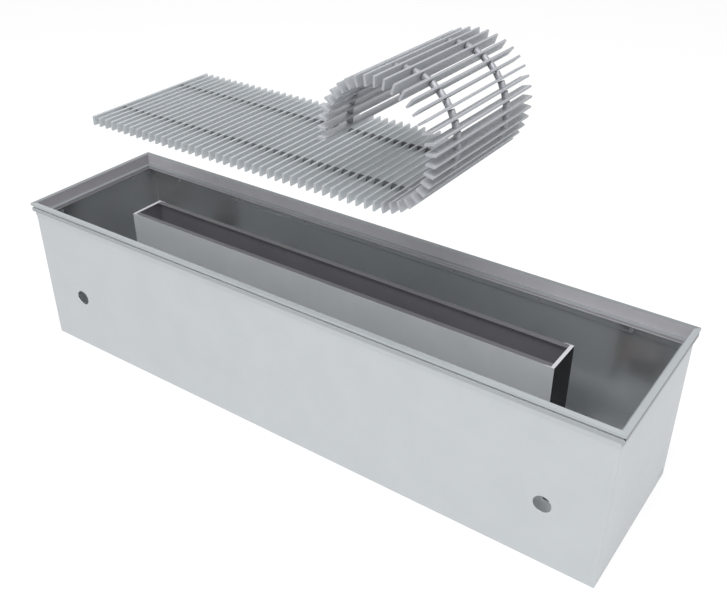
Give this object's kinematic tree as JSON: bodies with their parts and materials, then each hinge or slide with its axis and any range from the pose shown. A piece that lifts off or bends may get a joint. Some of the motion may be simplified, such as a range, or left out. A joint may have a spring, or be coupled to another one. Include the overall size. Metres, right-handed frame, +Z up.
{
  "type": "trench convector heater",
  "caption": "Sheet-metal trough heater for a floor trench, with a warm-air duct, a finned element, a mitred frame and a roll-up slatted grille, shown lifted and half rolled.",
  "frame": {"origin": "middle of the trough's flat underside", "axes": "+X along the trough to its right end, +Y across it to the back wall (the pipe holes are in the front wall, at -Y), +Z up"},
  "size_m": [1.0092, 0.2666, 0.5771],
  "materials": {
    "trough_sheet": "galvanised sheet steel, satin",
    "frame_profile": "anodised natural aluminium, satin",
    "fixings": "zinc-plated steel",
    "duct_sheet": "galvanised sheet steel, satin, folded edges bright",
    "fins": "thin mill-finish aluminium sheet",
    "copper": "drawn copper tube, dulled",
    "fittings": "turned brass",
    "slats": "anodised natural aluminium, satin",
    "sleeves": "grey anodised aluminium",
    "springs": "spring steel wire, oiled"
  },
  "bodies": {
    "trough": {"front_wall": "trough_sheet", "back_wall": "trough_sheet", "floor_pan": "trough_sheet", "left_end_wall": "trough_sheet", "right_end_wall": "trough_sheet", "front_frame_bar": "frame_profile", "back_frame_bar": "frame_profile", "left_frame_bar": "frame_profile", "right_frame_bar": "frame_profile", "frame_corner_keys": "fixings", "frame_screws": "fixings", "duct_front_plate": "duct_sheet", "duct_back_plate": "duct_sheet", "duct_end_caps": "duct_sheet", "duct_brackets": "fixings", "heating_fins": "fins", "heating_tubes": "copper", "header_blocks": "fittings", "pipe_unions": "fittings"},
    "grille": {"flat_slats": "slats", "flat_sleeves": "sleeves", "link_springs": "springs"},
    "vent_screw": {"vent_screw": "fittings"},
    "roll_link_01": {"roll_slat_01": "slats"},
    "roll_link_02": {"roll_slat_02": "slats"},
    "roll_link_03": {"roll_slat_03": "slats"},
    "roll_link_04": {"roll_slat_04": "slats"},
    "roll_link_05": {"roll_slat_05": "slats"},
    "roll_link_06": {"roll_slat_06": "slats"},
    "roll_link_07": {"roll_slat_07": "slats"},
    "roll_link_08": {"roll_slat_08": "slats"},
    "roll_link_09": {"roll_slat_09": "slats"},
    "roll_link_10": {"roll_slat_10": "slats"},
    "roll_link_11": {"roll_slat_11": "slats"},
    "roll_link_12": {"roll_slat_12": "slats"},
    "roll_link_13": {"roll_slat_13": "slats"},
    "roll_link_14": {"roll_slat_14": "slats"},
    "roll_link_15": {"roll_slat_15": "slats"},
    "roll_link_16": {"roll_slat_16": "slats"},
    "roll_link_17": {"roll_slat_17": "slats"},
    "roll_link_18": {"roll_slat_18": "slats"},
    "roll_link_19": {"roll_slat_19": "slats"},
    "roll_link_20": {"roll_slat_20": "slats"},
    "roll_link_21": {"roll_slat_21": "slats"},
    "roll_link_22": {"roll_slat_22": "slats"},
    "roll_link_23": {"roll_slat_23": "slats"},
    "roll_link_24": {"roll_slat_24": "slats"},
    "roll_link_25": {"roll_slat_25": "slats"},
    "roll_link_26": {"roll_slat_26": "slats"},
    "roll_link_27": {"roll_slat_27": "slats"},
    "roll_link_28": {"roll_slat_28": "slats"},
    "roll_link_29": {"roll_slat_29": "slats"}
  },
  "joints": [
    {"name": "grille_lowering", "type": "slide", "parent": "trough", "child": "grille", "axis": [-0.6309, -0.0737, -0.7723], "range_m": [0, 0.23054]},
    {"name": "vent_screw_turn", "type": "hinge", "parent": "trough", "child": "vent_screw", "pos_m": [-0.423, -0.015, 0.12], "axis": [0, 0, 1], "range_deg": [0, 360]},
    {"name": "roll_link_01_turn", "type": "hinge", "parent": "grille", "child": "roll_link_01", "pos_m": [0.15815, 0.017, 0.4175], "axis": [0, 1, 0], "range_deg": [0, 9.5]},
    {"name": "roll_link_02_turn", "type": "hinge", "parent": "roll_link_01", "child": "roll_link_02", "pos_m": [0.17068, 0.017, 0.4196], "axis": [0, 1, 0], "range_deg": [0, 9.5]},
    {"name": "roll_link_03_turn", "type": "hinge", "parent": "roll_link_02", "child": "roll_link_03", "pos_m": [0.18268, 0.017, 0.42373], "axis": [0, 1, 0], "range_deg": [0, 9.5]},
    {"name": "roll_link_04_turn", "type": "hinge", "parent": "roll_link_03", "child": "roll_link_04", "pos_m": [0.19384, 0.017, 0.42979], "axis": [0, 1, 0], "range_deg": [0, 9.5]},
    {"name": "roll_link_05_turn", "type": "hinge", "parent": "roll_link_04", "child": "roll_link_05", "pos_m": [0.20385, 0.017, 0.43761], "axis": [0, 1, 0], "range_deg": [0, 9.5]},
    {"name": "roll_link_06_turn", "type": "hinge", "parent": "roll_link_05", "child": "roll_link_06", "pos_m": [0.21243, 0.017, 0.44697], "axis": [0, 1, 0], "range_deg": [0, 9.5]},
    {"name": "roll_link_07_turn", "type": "hinge", "parent": "roll_link_06", "child": "roll_link_07", "pos_m": [0.21935, 0.017, 0.45762], "axis": [0, 1, 0], "range_deg": [0, 9.5]},
    {"name": "roll_link_08_turn", "type": "hinge", "parent": "roll_link_07", "child": "roll_link_08", "pos_m": [0.22441, 0.017, 0.46927], "axis": [0, 1, 0], "range_deg": [0, 9.5]},
    {"name": "roll_link_09_turn", "type": "hinge", "parent": "roll_link_08", "child": "roll_link_09", "pos_m": [0.22749, 0.017, 0.48159], "axis": [0, 1, 0], "range_deg": [0, 9.5]},
    {"name": "roll_link_10_turn", "type": "hinge", "parent": "roll_link_09", "child": "roll_link_10", "pos_m": [0.22848, 0.017, 0.49425], "axis": [0, 1, 0], "range_deg": [0, 9.5]},
    {"name": "roll_link_11_turn", "type": "hinge", "parent": "roll_link_10", "child": "roll_link_11", "pos_m": [0.22738, 0.017, 0.50691], "axis": [0, 1, 0], "range_deg": [0, 9.5]},
    {"name": "roll_link_12_turn", "type": "hinge", "parent": "roll_link_11", "child": "roll_link_12", "pos_m": [0.2242, 0.017, 0.5192], "axis": [0, 1, 0], "range_deg": [0, 9.5]},
    {"name": "roll_link_13_turn", "type": "hinge", "parent": "roll_link_12", "child": "roll_link_13", "pos_m": [0.21903, 0.017, 0.5308], "axis": [0, 1, 0], "range_deg": [0, 9.5]},
    {"name": "roll_link_14_turn", "type": "hinge", "parent": "roll_link_13", "child": "roll_link_14", "pos_m": [0.21202, 0.017, 0.54139], "axis": [0, 1, 0], "range_deg": [0, 9.5]},
    {"name": "roll_link_15_turn", "type": "hinge", "parent": "roll_link_14", "child": "roll_link_15", "pos_m": [0.20336, 0.017, 0.55068], "axis": [0, 1, 0], "range_deg": [0, 9.5]},
    {"name": "roll_link_16_turn", "type": "hinge", "parent": "roll_link_15", "child": "roll_link_16", "pos_m": [0.19328, 0.017, 0.55841], "axis": [0, 1, 0], "range_deg": [0, 9.5]},
    {"name": "roll_link_17_turn", "type": "hinge", "parent": "roll_link_16", "child": "roll_link_17", "pos_m": [0.18207, 0.017, 0.56438], "axis": [0, 1, 0], "range_deg": [0, 9.5]},
    {"name": "roll_link_18_turn", "type": "hinge", "parent": "roll_link_17", "child": "roll_link_18", "pos_m": [0.17003, 0.017, 0.56841], "axis": [0, 1, 0], "range_deg": [0, 9.5]},
    {"name": "roll_link_19_turn", "type": "hinge", "parent": "roll_link_18", "child": "roll_link_19", "pos_m": [0.15748, 0.017, 0.57039], "axis": [0, 1, 0], "range_deg": [0, 9.5]},
    {"name": "roll_link_20_turn", "type": "hinge", "parent": "roll_link_19", "child": "roll_link_20", "pos_m": [0.14478, 0.017, 0.57028], "axis": [0, 1, 0], "range_deg": [0, 9.5]},
    {"name": "roll_link_21_turn", "type": "hinge", "parent": "roll_link_20", "child": "roll_link_21", "pos_m": [0.13228, 0.017, 0.56808], "axis": [0, 1, 0], "range_deg": [0, 9.5]},
    {"name": "roll_link_22_turn", "type": "hinge", "parent": "roll_link_21", "child": "roll_link_22", "pos_m": [0.1203, 0.017, 0.56384], "axis": [0, 1, 0], "range_deg": [0, 9.5]},
    {"name": "roll_link_23_turn", "type": "hinge", "parent": "roll_link_22", "child": "roll_link_23", "pos_m": [0.1092, 0.017, 0.55768], "axis": [0, 1, 0], "range_deg": [0, 9.5]},
    {"name": "roll_link_24_turn", "type": "hinge", "parent": "roll_link_23", "child": "roll_link_24", "pos_m": [0.09926, 0.017, 0.54977], "axis": [0, 1, 0], "range_deg": [0, 9.5]},
    {"name": "roll_link_25_turn", "type": "hinge", "parent": "roll_link_24", "child": "roll_link_25", "pos_m": [0.09076, 0.017, 0.54034], "axis": [0, 1, 0], "range_deg": [0, 9.5]},
    {"name": "roll_link_26_turn", "type": "hinge", "parent": "roll_link_25", "child": "roll_link_26", "pos_m": [0.08394, 0.017, 0.52963], "axis": [0, 1, 0], "range_deg": [0, 9.5]},
    {"name": "roll_link_27_turn", "type": "hinge", "parent": "roll_link_26", "child": "roll_link_27", "pos_m": [0.07897, 0.017, 0.51793], "axis": [0, 1, 0], "range_deg": [0, 9.5]},
    {"name": "roll_link_28_turn", "type": "hinge", "parent": "roll_link_27", "child": "roll_link_28", "pos_m": [0.07601, 0.017, 0.50558], "axis": [0, 1, 0], "range_deg": [0, 9.5]},
    {"name": "roll_link_29_turn", "type": "hinge", "parent": "roll_link_28", "child": "roll_link_29", "pos_m": [0.07512, 0.017, 0.49292], "axis": [0, 1, 0], "range_deg": [0, 9.5]}
  ]
}
